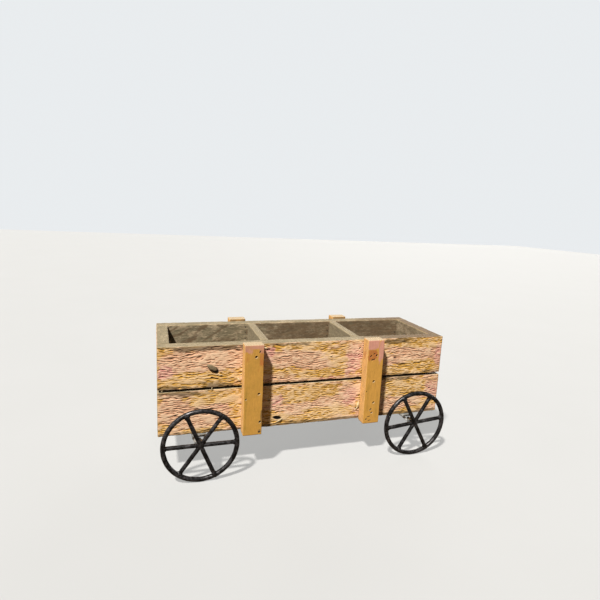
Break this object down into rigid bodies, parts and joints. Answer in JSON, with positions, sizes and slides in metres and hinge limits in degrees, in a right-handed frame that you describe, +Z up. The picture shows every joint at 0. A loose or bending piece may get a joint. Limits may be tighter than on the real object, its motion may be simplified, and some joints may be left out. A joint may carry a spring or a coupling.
{
  "type": "weathered wooden planter cart",
  "caption": "Long weathered board planter box split by dividers, with upright battens, rolling on small spoked rod wheels.",
  "frame": {"origin": "on the ground, under the middle of the cart", "axes": "+X along the box to its right end, +Y across it to the back, +Z up"},
  "size_m": [0.635, 0.2944, 0.27],
  "materials": {
    "pine_outer": "bare rough-sawn softwood, salmon pink and ochre, with raised grain and dirty edges",
    "pine_inner": "bare softwood weathered grey-brown, with dark nail stains",
    "pine_batten": "bare softwood, golden ochre with pinker and pale cream tops, open nail holes",
    "black_steel": "satin black-brown rod, worn, with weld beads and light rust",
    "zinc_steel": "dull weathered zinc with rust at its edges"
  },
  "bodies": {
    "root": {"side_board_front_lower": "pine_outer", "side_board_back_lower": "pine_outer", "end_board_left_lower": "pine_outer", "end_board_right_lower": "pine_outer", "divider_left_lower": "pine_inner", "divider_right_lower": "pine_inner", "side_board_front_upper": "pine_outer", "side_board_back_upper": "pine_outer", "end_board_left_upper": "pine_outer", "end_board_right_upper": "pine_outer", "divider_left_upper": "pine_inner", "divider_right_upper": "pine_inner", "floor_board_front": "pine_inner", "floor_board_back": "pine_inner", "batten_front_left": "pine_batten", "batten_front_right": "pine_batten", "batten_back_left": "pine_batten", "batten_back_right": "pine_batten", "bracket_front_left": "zinc_steel", "bracket_front_right": "zinc_steel", "bracket_back_left": "zinc_steel", "bracket_back_right": "zinc_steel"},
    "wheel_front_left": {"wheel_hoop_front_left": "black_steel", "wheel_bars_front_left": "black_steel", "axle_pin_front_left": "black_steel", "axle_nut_front_left": "zinc_steel"},
    "wheel_front_right": {"wheel_hoop_front_right": "black_steel", "wheel_bars_front_right": "black_steel", "axle_pin_front_right": "black_steel", "axle_nut_front_right": "zinc_steel"},
    "wheel_back_left": {"wheel_hoop_back_left": "black_steel", "wheel_bars_back_left": "black_steel", "axle_pin_back_left": "black_steel", "axle_nut_back_left": "zinc_steel"},
    "wheel_back_right": {"wheel_hoop_back_right": "black_steel", "wheel_bars_back_right": "black_steel", "axle_pin_back_right": "black_steel", "axle_nut_back_right": "zinc_steel"}
  },
  "joints": [
    {"name": "spin_front_left", "type": "hinge", "parent": "root", "child": "wheel_front_left", "pos_m": [-0.2375, -0.14, 0.076], "axis": [0, 1, 0], "continuous": true},
    {"name": "spin_front_right", "type": "hinge", "parent": "root", "child": "wheel_front_right", "pos_m": [0.2375, -0.14, 0.076], "axis": [0, 1, 0], "continuous": true},
    {"name": "spin_back_left", "type": "hinge", "parent": "root", "child": "wheel_back_left", "pos_m": [-0.2375, 0.14, 0.076], "axis": [0, 1, 0], "continuous": true},
    {"name": "spin_back_right", "type": "hinge", "parent": "root", "child": "wheel_back_right", "pos_m": [0.2375, 0.14, 0.076], "axis": [0, 1, 0], "continuous": true}
  ]
}
